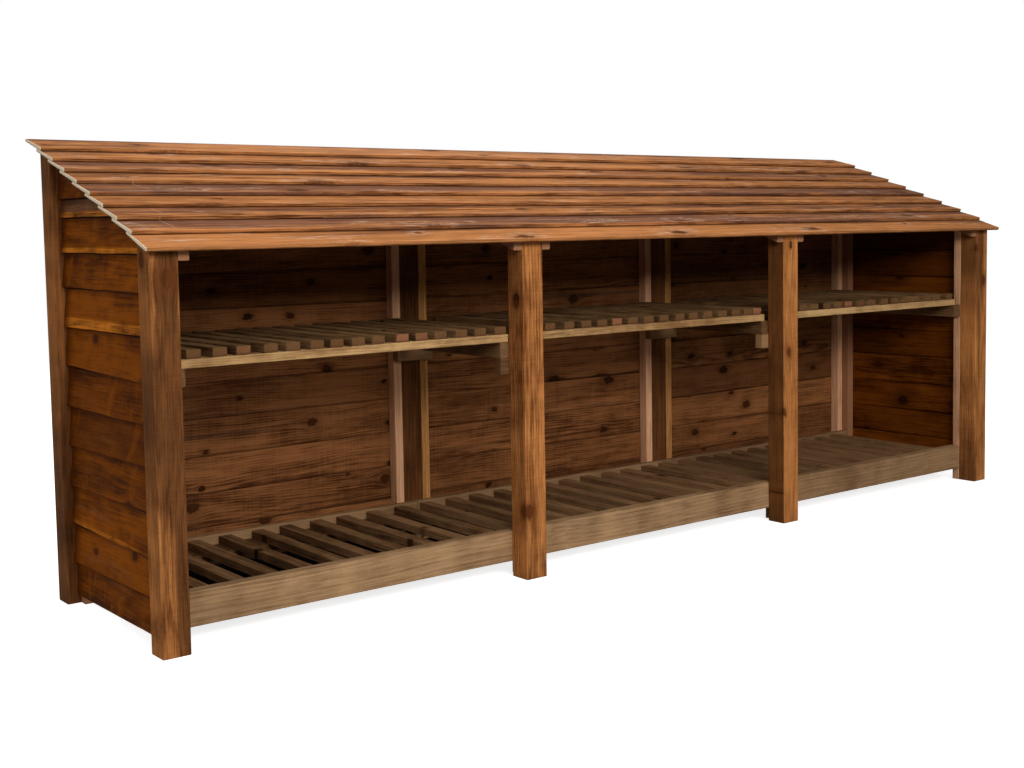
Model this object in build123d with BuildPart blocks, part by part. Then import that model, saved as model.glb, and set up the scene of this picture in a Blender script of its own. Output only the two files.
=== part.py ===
from build123d import *
from math import cos, radians, sin, tan
import os

# Triple-bay log store: posts, lapped boards, slatted floor and shelf, lean-to roof.
# Millimetres. Z is up, the open front faces -Y, the origin is on the ground
# under the middle of the roof.

# Driving sizes: the frame
bay_pitch = 1076
post_width = 71
post_depth = 67
store_depth = 690
eave_height = 960
roof_pitch = 20.5
front_overhang = 37
back_overhang = 56
side_overhang = 20

# Driving sizes: sawn sections
batten_thickness = 28
batten_depth = 34
board_thin_edge = 5
board_thick_edge = 11
wall_lap = 20
roof_thin_edge = 7
roof_thick_edge = 10.5
roof_board_count = 9
roof_lap = 29

# Driving sizes: lapped walls, heights of the boards' lower edges
lap_heights = (26, 120, 219, 326, 434, 536, 640, 747, 850, 941, 1032, 1080)

# Driving sizes: floor
floor_front_rail_thickness = 36
floor_back_rail_thickness = 22
floor_rail_low = 44
floor_rail_height = 86
floor_slat_width = 38
floor_slat_thickness = 22
floor_slat_drop = 6
floor_bearer_width = 100
floor_bearer_thickness = 22
leg_width = 19

# Driving sizes: shelf
shelf_rail_low = 668
shelf_rail_height = 22
shelf_rail_depth = 38
shelf_slat_width = 38
shelf_slat_thickness = 22
shelf_bearer_width = 30
shelf_end_bearer_width = 38
shelf_bearer_height = 45
cleat_height = 45
cleat_depth = 28

# How far each bay's shelf rails stop short of the post on the right
shelf_rail_short = (2, 17, 34)

# Left edges of the shelf slats in each bay, in thousandths of the bay's clear width
shelf_slat_places = (
    (41, 108, 171, 244, 307, 375, 432, 494, 555, 629, 689, 752, 820, 884, 952),
    (62, 133, 198, 260, 318, 383, 448, 512, 579, 638, 704, 770, 830, 889, 931),
    (24, 86, 146, 207, 269, 325, 388, 455, 524, 582, 647, 711, 776, 839, 914),
)

# Left edges of the floor slats from each post's middle, in thousandths of the bay pitch
floor_slat_places = (
    (96, 187, 276, 367, 463, 545, 640, 724, 823, 916),
    (6, 97, 184, 277, 361, 449, 536, 626, 716, 801, 892, 974),
    (67, 152, 241, 330, 414, 507, 599, 691, 779, 866),
)

# Clearances
joint_gap = 1
end_gap = 2
head_gap = 1.5
lap_bite = 0.3

# Derived places
front_y = front_overhang - (store_depth + front_overhang + back_overhang) / 2
back_y = front_y + store_depth
inner_front_y = front_y + post_depth
inner_back_y = back_y - post_depth
wall_back_y = inner_back_y + batten_depth
post_x = [(i - 1.5) * bay_pitch for i in range(4)]
half_post = post_width / 2
slope = tan(radians(roof_pitch))
rafter_drop = batten_depth / cos(radians(roof_pitch))
half_roof = post_x[3] + half_post + side_overhang
tip_y = front_y - front_overhang + roof_thick_edge * sin(radians(roof_pitch))
roof_length = (back_y + back_overhang - tip_y) / cos(radians(roof_pitch))


def roof_z(y):
    return eave_height + (y - front_y) * slope


def on_roof(along, lift):
    # A point so far up the rake from the roof's lower tip, and so far off the rafters
    y = tip_y + along * cos(radians(roof_pitch)) - lift * sin(radians(roof_pitch))
    z = roof_z(tip_y) + along * sin(radians(roof_pitch)) + lift * cos(radians(roof_pitch))
    return (y, z)


def side_prism(points, x_low, x_high, mode=Mode.ADD):
    with BuildSketch(Plane.YZ.offset(x_low)) as outline:
        with BuildLine():
            Polyline(points, close=True)
        make_face()
    extrude(outline.sketch, amount=x_high - x_low, mode=mode)


def block(x_low, x_high, y_low, y_high, z_low, z_high):
    with Locations((x_low, y_low, z_low)):
        Box(x_high - x_low, y_high - y_low, z_high - z_low, align=(Align.MIN, Align.MIN, Align.MIN))


def under_roof(y_low, y_high, z_low, x_low, x_high, drop=head_gap, mode=Mode.ADD):
    points = [
        (y_low, z_low),
        (y_high, z_low),
        (y_high, roof_z(y_high) - drop),
        (y_low, roof_z(y_low) - drop),
    ]
    side_prism(points, x_low, x_high, mode)


def lap_lift(lift, thin, thick, lap, width):
    # How far a board's lower edge stands off: it rides on the tapered board below
    return thin + (lift + thick - thin) * lap / width - lap_bite


def lapped_boards(face, outward):
    # One tapered board per lap height, each over the top edge of the one below
    tops = [low + wall_lap for low in lap_heights[1:]] + [roof_z(back_y) + wall_lap]
    boards = []
    lift = 0
    for low, top in zip(lap_heights, tops):
        boards.append([
            (face + outward * lift, low),
            (face + outward * (lift + board_thick_edge), low),
            (face + outward * board_thin_edge, top),
            (face, top),
        ])
        lift = lap_lift(lift, board_thin_edge, board_thick_edge, wall_lap, top - low)
    return boards


os.makedirs("parts", exist_ok=True)

# Front posts, cut to the rake of the roof
with BuildPart() as front_post_1:
    under_roof(front_y, inner_front_y, 0, post_x[0] - half_post, post_x[0] + half_post)
with BuildPart() as front_post_2:
    under_roof(front_y, inner_front_y, 0, post_x[1] - half_post, post_x[1] + half_post)
with BuildPart() as front_post_3:
    under_roof(front_y, inner_front_y, 0, post_x[2] - half_post, post_x[2] + half_post)
with BuildPart() as front_post_4:
    under_roof(front_y, inner_front_y, 0, post_x[3] - half_post, post_x[3] + half_post)

# Back posts
with BuildPart() as back_post_1:
    under_roof(inner_back_y, back_y, 0, post_x[0] - half_post, post_x[0] + half_post)
with BuildPart() as back_post_2:
    under_roof(inner_back_y, back_y, 0, post_x[1] - half_post, post_x[1] + half_post)
with BuildPart() as back_post_3:
    under_roof(inner_back_y, back_y, 0, post_x[2] - half_post, post_x[2] + half_post)
with BuildPart() as back_post_4:
    under_roof(inner_back_y, back_y, 0, post_x[3] - half_post, post_x[3] + half_post)

# Upright battens of the end walls, behind the front posts and before the back ones
left_inner = post_x[0] + half_post
right_inner = post_x[3] - half_post
with BuildPart() as left_wall_battens:
    under_roof(inner_front_y, inner_front_y + batten_thickness, 0, left_inner - batten_depth, left_inner)
    under_roof(inner_back_y - batten_thickness, inner_back_y, 0, left_inner - batten_depth, left_inner)
with BuildPart() as right_wall_battens:
    under_roof(inner_front_y, inner_front_y + batten_thickness, 0, right_inner, right_inner + batten_depth)
    under_roof(inner_back_y - batten_thickness, inner_back_y, 0, right_inner, right_inner + batten_depth)

# End walls of lapped boards nailed outside the battens, cut to the rake
with BuildPart() as left_wall_boards:
    with BuildSketch(Plane.XZ.offset(-inner_back_y)):
        for corners in lapped_boards(left_inner - batten_depth, -1):
            with BuildLine():
                Polyline(corners, close=True)
            make_face()
    extrude(amount=inner_back_y - inner_front_y)
    under_roof(inner_front_y, inner_back_y, 0, -half_roof, half_roof, mode=Mode.INTERSECT)
with BuildPart() as right_wall_boards:
    with BuildSketch(Plane.XZ.offset(-inner_back_y)):
        for corners in lapped_boards(right_inner + batten_depth, 1):
            with BuildLine():
                Polyline(corners, close=True)
            make_face()
    extrude(amount=inner_back_y - inner_front_y)
    under_roof(inner_front_y, inner_back_y, 0, -half_roof, half_roof, mode=Mode.INTERSECT)

# Back wall: a pair of battens and a lapped board panel in each bay
back_battens = []
back_boards = []
for bay in range(3):
    bay_left = post_x[bay] + half_post
    bay_right = post_x[bay + 1] - half_post
    with BuildPart() as battens:
        under_roof(inner_back_y, wall_back_y, 0, bay_left, bay_left + batten_thickness, rafter_drop)
        under_roof(inner_back_y, wall_back_y, 0, bay_right - batten_thickness, bay_right, rafter_drop)
    back_battens.append(battens)
    with BuildPart() as boards:
        with BuildSketch(Plane.YZ.offset(bay_left)):
            for corners in lapped_boards(wall_back_y, 1):
                with BuildLine():
                    Polyline(corners, close=True)
                make_face()
        extrude(amount=bay_right - bay_left)
        under_roof(wall_back_y, back_y, 0, bay_left, bay_right, mode=Mode.INTERSECT)
    back_boards.append(boards)

# Rafters along the sides of the posts
rafters = []
for post in range(4):
    with BuildPart() as rafter:
        rake = [
            (front_y, roof_z(front_y) - rafter_drop),
            (wall_back_y, roof_z(wall_back_y) - rafter_drop),
            (wall_back_y, roof_z(wall_back_y)),
            (front_y, roof_z(front_y)),
        ]
        if post > 0:
            side_prism(rake, post_x[post] - half_post - batten_thickness, post_x[post] - half_post)
        if post < 3:
            side_prism(rake, post_x[post] + half_post, post_x[post] + half_post + batten_thickness)
    rafters.append(rafter)

# Roof of nine tapered boards, each lapped over the one below
roof_exposure = (roof_length - roof_lap) / roof_board_count
roof_lift = 0
with BuildPart() as roof_boards:
    with BuildSketch(Plane.YZ.offset(-half_roof)):
        for board in range(roof_board_count):
            low = board * roof_exposure
            top = low + roof_exposure + roof_lap
            with BuildLine():
                Polyline(
                    on_roof(low, roof_lift),
                    on_roof(low, roof_lift + roof_thick_edge),
                    on_roof(top, roof_thin_edge),
                    on_roof(top, 0),
                    close=True,
                )
            make_face()
            roof_lift = lap_lift(roof_lift, roof_thin_edge, roof_thick_edge, roof_lap, top - low)
    extrude(amount=2 * half_roof)

# Floor: rails behind the front posts and before the back ones, one piece to a bay
floor_rail_top = floor_rail_low + floor_rail_height
seams = [left_inner, post_x[1], post_x[2], right_inner]
with BuildPart() as floor_front_rails:
    for bay in range(3):
        low_x = seams[bay] + (joint_gap if bay > 0 else 0)
        block(low_x, seams[bay + 1] - (joint_gap if bay < 2 else 0), inner_front_y,
              inner_front_y + floor_front_rail_thickness, floor_rail_low, floor_rail_top)
with BuildPart() as floor_back_rails:
    for bay in range(3):
        low_x = seams[bay] + (joint_gap if bay > 0 else 0)
        block(low_x, seams[bay + 1] - (joint_gap if bay < 2 else 0), inner_back_y - floor_back_rail_thickness,
              inner_back_y, floor_rail_low, floor_rail_top)

# Flat bearers under the ends of the slats, fixed to the rails
slat_front_y = inner_front_y + floor_front_rail_thickness
slat_back_y = inner_back_y - floor_back_rail_thickness
slat_low = floor_rail_top - floor_slat_drop - floor_slat_thickness
with BuildPart() as floor_front_bearer:
    block(left_inner, right_inner, slat_front_y, slat_front_y + floor_bearer_width,
          slat_low - floor_bearer_thickness, slat_low)
with BuildPart() as floor_back_bearer:
    block(left_inner, right_inner, slat_back_y - floor_bearer_width, slat_back_y,
          slat_low - floor_bearer_thickness, slat_low)

# Blocks on the ground under the rails at the middle posts
with BuildPart() as front_leg_blocks:
    for x in post_x[1:3]:
        block(x - leg_width / 2, x + leg_width / 2, inner_front_y,
              inner_front_y + floor_front_rail_thickness, 0, floor_rail_low)
with BuildPart() as back_leg_blocks:
    for x in post_x[1:3]:
        block(x - leg_width / 2, x + leg_width / 2, inner_back_y - floor_back_rail_thickness,
              inner_back_y, 0, floor_rail_low)

# Floor slats, laid by eye across the bearers and grouped by bay
floor_slats = []
for bay in range(3):
    with BuildPart() as slats:
        for place in floor_slat_places[bay]:
            x = post_x[bay] + bay_pitch * place / 1000
            block(x, x + floor_slat_width, slat_front_y, slat_back_y, slat_low, slat_low + floor_slat_thickness)
    floor_slats.append(slats)

# Shelf bearers along the end walls and both sides of the middle posts
shelf_bearers = []
for post in range(4):
    bearer_width = shelf_end_bearer_width if post in (0, 3) else shelf_bearer_width
    with BuildPart() as bearers:
        if post > 0:
            inner = post_x[post] - half_post
            block(inner - bearer_width, inner, inner_front_y, inner_back_y,
                  shelf_rail_low - shelf_bearer_height, shelf_rail_low)
        if post < 3:
            inner = post_x[post] + half_post
            block(inner, inner + bearer_width, inner_front_y, inner_back_y,
                  shelf_rail_low - shelf_bearer_height, shelf_rail_low)
    shelf_bearers.append(bearers)

# Cleats across the middle posts that carry the bearers
cleat_low = shelf_rail_low - shelf_bearer_height - cleat_height
with BuildPart() as front_shelf_cleats:
    for x in post_x[1:3]:
        block(x - half_post - shelf_bearer_width, x + half_post + shelf_bearer_width, inner_front_y,
              inner_front_y + cleat_depth, cleat_low, cleat_low + cleat_height)
with BuildPart() as back_shelf_cleats:
    for x in post_x[1:3]:
        block(x - half_post - shelf_bearer_width, x + half_post + shelf_bearer_width, inner_back_y - cleat_depth,
              inner_back_y, cleat_low, cleat_low + cleat_height)

# Shelf rails lying flat on the bearers, one to a bay
with BuildPart() as shelf_front_rails:
    for bay in range(3):
        block(post_x[bay] + half_post + end_gap, post_x[bay + 1] - half_post - shelf_rail_short[bay], inner_front_y,
              inner_front_y + shelf_rail_depth, shelf_rail_low, shelf_rail_low + shelf_rail_height)
with BuildPart() as shelf_back_rails:
    for bay in range(3):
        block(post_x[bay] + half_post + end_gap, post_x[bay + 1] - half_post - shelf_rail_short[bay],
              inner_back_y - shelf_rail_depth, inner_back_y, shelf_rail_low, shelf_rail_low + shelf_rail_height)

# Shelf slats across the rails
shelf_slat_low = shelf_rail_low + shelf_rail_height
shelf_slats = []
for bay in range(3):
    with BuildPart() as slats:
        for place in shelf_slat_places[bay]:
            x = post_x[bay] + half_post + (bay_pitch - post_width) * place / 1000
            block(x, x + shelf_slat_width, inner_front_y, inner_back_y,
                  shelf_slat_low, shelf_slat_low + shelf_slat_thickness)
    shelf_slats.append(slats)

# Names and files
pieces = {
    "front_post_1": front_post_1,
    "front_post_2": front_post_2,
    "front_post_3": front_post_3,
    "front_post_4": front_post_4,
    "back_post_1": back_post_1,
    "back_post_2": back_post_2,
    "back_post_3": back_post_3,
    "back_post_4": back_post_4,
    "left_wall_battens": left_wall_battens,
    "right_wall_battens": right_wall_battens,
    "left_wall_boards": left_wall_boards,
    "right_wall_boards": right_wall_boards,
    "roof_boards": roof_boards,
    "floor_front_rails": floor_front_rails,
    "floor_back_rails": floor_back_rails,
    "floor_front_bearer": floor_front_bearer,
    "floor_back_bearer": floor_back_bearer,
    "front_leg_blocks": front_leg_blocks,
    "back_leg_blocks": back_leg_blocks,
    "front_shelf_cleats": front_shelf_cleats,
    "back_shelf_cleats": back_shelf_cleats,
    "shelf_front_rails": shelf_front_rails,
    "shelf_back_rails": shelf_back_rails,
}
for bay in range(3):
    pieces[f"back_battens_{bay + 1}"] = back_battens[bay]
    pieces[f"back_boards_{bay + 1}"] = back_boards[bay]
    pieces[f"floor_slats_{bay + 1}"] = floor_slats[bay]
    pieces[f"shelf_slats_{bay + 1}"] = shelf_slats[bay]
for post in range(4):
    pieces[f"rafters_{post + 1}"] = rafters[post]
    pieces[f"shelf_bearers_{post + 1}"] = shelf_bearers[post]
for name, piece in pieces.items():
    piece.part.label = name
    export_step(piece.part, f"parts/{name}.step")
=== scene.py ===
# %% [markdown]
# # Triple-bay log store
# A log store is a frame of square posts with boards lapped over each other on three sides and
# on the roof. The air has to get at the logs, so the floor and the shelf are slats with gaps.
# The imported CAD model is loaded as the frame, and every board is then made again as a piece of
# timber with its own grain, because the eye reads wood board by board.

# %% Load the frame
import bpy
import bmesh
import math
import random
from mathutils import Matrix, Vector, noise


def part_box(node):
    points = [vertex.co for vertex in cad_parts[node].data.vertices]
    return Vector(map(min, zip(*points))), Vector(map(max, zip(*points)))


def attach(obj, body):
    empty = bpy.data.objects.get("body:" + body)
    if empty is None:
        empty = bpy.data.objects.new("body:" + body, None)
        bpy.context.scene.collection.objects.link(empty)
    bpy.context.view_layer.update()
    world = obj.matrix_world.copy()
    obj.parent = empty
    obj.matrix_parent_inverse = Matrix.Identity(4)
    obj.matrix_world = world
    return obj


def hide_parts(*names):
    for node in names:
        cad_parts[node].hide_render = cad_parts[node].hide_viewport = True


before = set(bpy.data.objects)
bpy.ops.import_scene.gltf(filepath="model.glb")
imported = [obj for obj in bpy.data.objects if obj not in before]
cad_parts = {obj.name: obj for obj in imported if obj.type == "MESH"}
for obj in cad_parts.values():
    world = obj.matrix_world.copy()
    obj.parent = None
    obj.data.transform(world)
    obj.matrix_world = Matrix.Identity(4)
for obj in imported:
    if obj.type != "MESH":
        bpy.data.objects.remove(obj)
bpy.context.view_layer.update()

from types import SimpleNamespace

# %% [markdown]
# ## The rake of the roof
# Posts, battens, rafters and wall boards all end at one sloping plane. Its height could be typed
# in for each of them. It is worked out once instead, from the CAD model's pitch and its height at
# the front of the posts, so that all of them meet the roof alike. A hair of room is left between
# their tops and the roof boards.

# %% The rake
PITCH = math.radians(20.5)
EAVE = 0.960
HEAD_GAP = 0.0015
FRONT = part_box("front_post_1")[0].y
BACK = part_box("back_post_1")[1].y
UP_RAKE = Vector((0, math.cos(PITCH), math.sin(PITCH)))
OFF_RAKE = Vector((0, -math.sin(PITCH), math.cos(PITCH)))


def roof_z(y):
    return EAVE + (y - FRONT) * math.tan(PITCH)


def rake_cut(drop=0.0):
    """The plane that tops are sawn to, as a point on it and the direction that is cut away."""
    return (0, FRONT, roof_z(FRONT) - HEAD_GAP - drop), OFF_RAKE


print("the rake rises from", round(roof_z(FRONT), 3), "to", round(roof_z(BACK), 3))

# %% [markdown]
# ## Reading places from the frame
# A node such as a row of slats holds many loose boards. Splitting its mesh into islands gives the
# box of each one, so the timber here always lies exactly where the frame has it.

# %% Islands of a node
def islands(node):
    """The lowest and highest corner of each loose board of a node, from the left."""
    bm = bmesh.new()
    bm.from_mesh(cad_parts[node].data)
    bmesh.ops.remove_doubles(bm, verts=bm.verts, dist=1e-6)
    todo, found = set(bm.verts), []
    while todo:
        stack, group = [todo.pop()], []
        while stack:
            v = stack.pop()
            group.append(v.co.copy())
            for e in v.link_edges:
                w = e.other_vert(v)
                if w in todo:
                    todo.remove(w)
                    stack.append(w)
        low = Vector([min(c[i] for c in group) for i in range(3)])
        high = Vector([max(c[i] for c in group) for i in range(3)])
        found.append((low, high))
    bm.free()
    return sorted(found, key=lambda b: tuple(round(x, 4) for x in b[0]))


print("floor slats per bay", [len(islands(f"floor_slats_{i}")) for i in (1, 2, 3)])

# %% [markdown]
# ## Sawing a plank
# Each plank is made lying in its own frame: its length on X, its width on Y and its thickness
# on Z. A cube is pulled out to the board's section, sawn off by planes where it meets the rake,
# and its arrises are slightly rounded, as a saw and a wire brush leave them. Then its long edges
# are divided, because a board with points only at its ends can't bend.

# %% Sawing
SECTION_CORNER = {(False, False): 0, (True, False): 1, (True, True): 2, (False, True): 3}
SHARP = 0.6          # radians between two faces
RUNS_ALONG = 0.8     # share of a long edge's length that lies on X


def sawn_block(bm, corners, length):
    """A block with the section given by four corners, each its (width, thickness), going round."""
    bmesh.ops.create_cube(bm, size=1.0)
    for v in bm.verts:
        across, through = corners[SECTION_CORNER[v.co.y > 0, v.co.z > 0]]
        v.co = ((v.co.x + 0.5) * length, across, through)


def saw_off(bm, cuts, place):
    """Cut by planes that are given in the store's frame, and close what they open."""
    back = place.inverted()
    for origin, normal in cuts:
        point = back @ Vector(origin)
        away = (back.to_3x3() @ Vector(normal)).normalized()
        parts = bm.verts[:] + bm.edges[:] + bm.faces[:]
        cut = bmesh.ops.bisect_plane(bm, geom=parts, plane_co=point, plane_no=away, clear_outer=True)
        rim = [e for e in cut["geom_cut"] if isinstance(e, bmesh.types.BMEdge)]
        if rim:
            bmesh.ops.holes_fill(bm, edges=rim)


def round_arrises(bm, arris):
    sharp = [e for e in bm.edges if len(e.link_faces) == 2 and e.calc_face_angle(0) > SHARP]
    bmesh.ops.bevel(bm, geom=sharp, offset=arris, segments=2, profile=0.5, affect="EDGES",
                    material=-1, clamp_overlap=True)


def divide_length(bm, length, step):
    long_edges = []
    for e in bm.edges:
        run = abs((e.verts[0].co - e.verts[1].co).x)
        if run > RUNS_ALONG * e.calc_length() and e.calc_length() > step:
            long_edges.append(e)
    if long_edges:
        count = max(1, int(length / step))
        bmesh.ops.subdivide_edges(bm, edges=long_edges, cuts=count, use_grid_fill=True)


print("edges that turn by more than", round(math.degrees(SHARP)), "degrees are rounded")

# %% [markdown]
# ## What a plank knows about itself
# The finish could be painted by place in the store, but then the grain would run on from board to
# board. So each point of a plank keeps six attributes for it. `grain` is its place inside the tree
# that the board was sawn from. `board` is three numbers that are the same all over the board.
# `place` is how far it is from the ends, from the lower edge and from the board that covers it.
# `skin` is its depth under the face, the stain that the board took and a number that picks boards
# out, such as those with a fresh end. `mark` and `mark2` are its distance from two knots whose
# places were read from the real board.

# %% Attributes
LAYERS = ("grain", "board", "place", "skin", "mark", "mark2")
UNCOVERED = 9.0                      # wider than any board: nothing covers this one
NO_KNOT = (-9.0, 0.0, 0.0, 0.01)     # a place far off the plank, and a size


def new_layers(bm):
    return [bm.verts.layers.float_vector.new(layer) for layer in LAYERS]


def new_piece():
    bm = bmesh.new()
    new_layers(bm)
    return bm


def keep_places(bm, layers, corners, length, rng, tone, stain, show, marks, chosen):
    """Write the attributes while the plank is still straight. rng draws what is left to chance."""
    grain, board, place, skin, *knot_layers = layers
    knots = (tuple(marks) + (NO_KNOT, NO_KNOT))[:2]
    (low, bottom_low), (high, bottom_high), (_, top_high), (_, top_low) = corners
    in_tree = Vector((rng.uniform(0, 40), rng.uniform(-0.03, 0.03), rng.uniform(0.02, 0.07)))
    same = Vector((rng.random(), tone, rng.random()))
    chosen = rng.random() if chosen is None else chosen
    for v in bm.verts:
        up = v.co.y - low
        v[grain] = v.co + in_tree
        v[board] = same
        v[place] = Vector((min(v.co.x, length - v.co.x), up, show - up))
        part = min(1.0, max(0.0, up / (high - low)))
        top = top_low + (top_high - top_low) * part
        bottom = bottom_low + (bottom_high - bottom_low) * part
        v[skin] = Vector(((top - v.co.z) / (top - bottom), stain, chosen))
        for layer, knot in zip(knot_layers, knots):
            v[layer] = (v.co - Vector(knot[:3])) / knot[3]


print("attributes on every plank:", ", ".join(LAYERS))

# %% [markdown]
# ## A plank that isn't quite straight
# Real boards are never straight, so each one gets a slight bow, and the lower edge of a lapped
# board is a little ragged. Smooth noise along the length does this without any kink. The bow
# comes after the attributes, so the grain bends with the board.

# %% Plank maker
RAGGED_DEPTH = 0.012     # how far up from the lower edge


def wander(*place):
    """Smooth noise, between about -1 and 1."""
    return noise.noise(Vector(place))


def warp(bm, low, length, rng, bow, chew, skew):
    lane1, lane2 = rng.uniform(0, 50), rng.uniform(0, 50)
    for v in bm.verts:
        x = v.co.x
        v.co.z += bow * wander(x * 1.3 + lane1, lane2, 0)
        v.co.y += bow * wander(x * 1.1 + lane2, lane1, 3)
        if chew:
            edge = max(0.0, 1 - (v.co.y - low) / RAGGED_DEPTH)
            bites = abs(wander(x * 14 + lane1, 1.7, lane2)) + abs(wander(x * 4 + lane2, 5.1, lane1))
            v.co.y += chew * edge * bites
        v.co.y += skew * (x / length - 0.5)


def plank(target, corners, length, place, seed, arris=0.0012, step=0.09, cuts=(), tone=0.0, stain=0.0,
          show=UNCOVERED, marks=(), chosen=None, bow=0.0008, chew=0.0, skew=0.0):
    """Add one plank to target. corners are its section, and place is its matrix in the store."""
    rng = random.Random(seed)
    bm = bmesh.new()
    layers = new_layers(bm)
    sawn_block(bm, corners, length)
    saw_off(bm, cuts, place)
    round_arrises(bm, arris)
    divide_length(bm, length, step)
    keep_places(bm, layers, corners, length, rng, tone, stain, show, marks, chosen)
    warp(bm, corners[0][0], length, rng, bow, chew, skew)
    bm.transform(place)
    temp = bpy.data.meshes.new("temp")
    bm.to_mesh(temp)
    bm.free()
    target.from_mesh(temp)
    bpy.data.meshes.remove(temp)


# %% [markdown]
# ## Laying planks in place
# Most boards fill a box of the frame, with their grain along one of its sides. A small table says
# where a plank's length, width and thickness point for each way that it can lie. A finished piece
# rides on the one body of the store and stands for the CAD node that it replaces, which is hidden.

# %% Planks in boxes
DIRECTIONS = {
    "x": ((1, 0, 0), (0, 1, 0), (0, 0, 1)),
    "y": ((0, 1, 0), (-1, 0, 0), (0, 0, 1)),
    "z": ((0, 0, 1), (1, 0, 0), (0, 1, 0)),
}


def along(axis, origin):
    """A frame whose X runs along the plank; width and thickness follow."""
    matrix = Matrix(DIRECTIONS[axis]).transposed().to_4x4()
    matrix.translation = Vector(origin)
    return matrix


def box_plank(target, low, high, axis, seed, **look):
    """A plank that fills a box, with its grain along the given axis."""
    size = high - low
    if axis == "x":
        place, length, wide, thick = along("x", low), size.x, size.y, size.z
    elif axis == "y":
        place, length, wide, thick = along("y", (high.x, low.y, low.z)), size.y, size.x, size.z
    else:
        place, length, wide, thick = along("z", low), size.z, size.x, size.y
    plank(target, [(0, 0), (wide, 0), (wide, thick), (0, thick)], length, place, seed, **look)


def finish_piece(name, bm, node, material):
    mesh = bpy.data.meshes.new(name)
    bm.to_mesh(mesh)
    bm.free()
    piece = bpy.data.objects.new(name, mesh)
    bpy.context.scene.collection.objects.link(piece)
    for poly in mesh.polygons:
        poly.use_smooth = False
    mesh.materials.append(material)
    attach(piece, "root")
    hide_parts(node)
    print(name, len(mesh.polygons), "faces")


# %% [markdown]
# ## Shader arithmetic
# A finish is a sum in the end: so much of this noise, so much of that ring. Wrapping a socket in a
# small class lets the sums be written as sums, and each sign adds one Math node.

# %% Socket arithmetic
class Value:
    def __init__(self, tree, socket):
        self.tree = tree
        self.socket = socket

    def math(self, operation, *others, clamp=False):
        node = self.tree.nodes.new("ShaderNodeMath")
        node.operation = operation
        node.use_clamp = clamp
        for slot, value in zip(node.inputs, (self,) + others):
            feed(self.tree, slot, value)
        return Value(self.tree, node.outputs[0])

    def clamped(self):
        return self.math("MULTIPLY", 1.0, clamp=True)

    def __add__(self, other):
        return self.math("ADD", other)

    __radd__ = __add__

    def __mul__(self, other):
        return self.math("MULTIPLY", other)

    __rmul__ = __mul__

    def __sub__(self, other):
        return self.math("SUBTRACT", other)

    def __rsub__(self, other):
        return (self * -1.0) + other

    def __truediv__(self, other):
        return self.math("DIVIDE", other)


def feed(tree, slot, value):
    if isinstance(value, Value):
        tree.links.new(value.socket, slot)
    else:
        slot.default_value = value


# %% [markdown]
# ## The node tree
# Materials and the world both have a tree of nodes, so one class serves them all. All but the
# Math nodes come from `node()`: first settings, then what the sockets hold. The few that a timber
# needs again and again, such as a noise or a smooth step, have short names of their own.

# %% Node tree
class Tree:
    def __init__(self, owner):
        owner.use_nodes = True
        self.tree = owner.node_tree
        self.tree.nodes.clear()

    def node(self, kind, settings=None, in_order=(), **named):
        """Add a node. Its sockets take values or links in their order, or by name."""
        node = self.tree.nodes.new("ShaderNode" + kind)
        for key, value in (settings or {}).items():
            setattr(node, key, value)
        for slot, value in zip(node.inputs, in_order):
            feed(self.tree, slot, value)
        for key, value in named.items():
            feed(self.tree, node.inputs[key.replace("_", " ")], value)
        return node

    def out(self, node, name=0):
        return Value(self.tree, node.outputs[name])

    def split(self, vector):
        """The three numbers of a vector."""
        parts = self.node("SeparateXYZ", Vector=vector)
        return [self.out(parts, axis) for axis in "XYZ"]

    def attribute(self, name):
        node = self.node("Attribute", {"attribute_type": "GEOMETRY", "attribute_name": name})
        return self.split(self.out(node, "Vector"))

    def object_place(self):
        return self.split(self.out(self.node("TexCoord"), "Object"))

    def vector(self, x, y, z):
        return self.out(self.node("CombineXYZ", X=x, Y=y, Z=z), "Vector")

    def noise(self, x, y, z, detail=2.0, rough=0.5, distort=0.0):
        node = self.node("TexNoise", {"noise_dimensions": "3D"}, Vector=self.vector(x, y, z), Scale=1.0,
                         Detail=detail, Roughness=rough, Distortion=distort)
        return self.out(node, "Fac")

    def step(self, value, low, high, to_low=0.0, to_high=1.0):
        """0 up to low and 1 from high on, with a smooth change between; low may be the larger one."""
        node = self.node("MapRange", {"interpolation_type": "SMOOTHSTEP"}, Value=value,
                         From_Min=low, From_Max=high, To_Min=to_low, To_Max=to_high)
        return self.out(node, "Result")

    def mix(self, factor, a, b):
        node = self.node("Mix", {"data_type": "RGBA", "blend_type": "MIX", "clamp_factor": True})
        for slot, value in zip((node.inputs[0], node.inputs[6], node.inputs[7]), (factor, a, b)):
            if isinstance(value, tuple):
                value = (*value, 1.0)
            feed(self.tree, slot, value)
        return Value(self.tree, node.outputs[2])


def darker(colour, share):
    return tuple(c * share for c in colour)


# %% [markdown]
# ## What a timber can be told
# All the timbers here are one kind of softwood, and only stain, saw and wear tell them apart. So
# there is one recipe, and this table holds its plain state. Each timber then names only what
# differs on it. Lengths are in metres. Most others are strengths, where 0 leaves a thing out.
# In the cells below, s is the tree of nodes, at holds the places on the board, f is the finish
# that was asked for, k holds the knots and g the growth of the wood.

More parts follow.
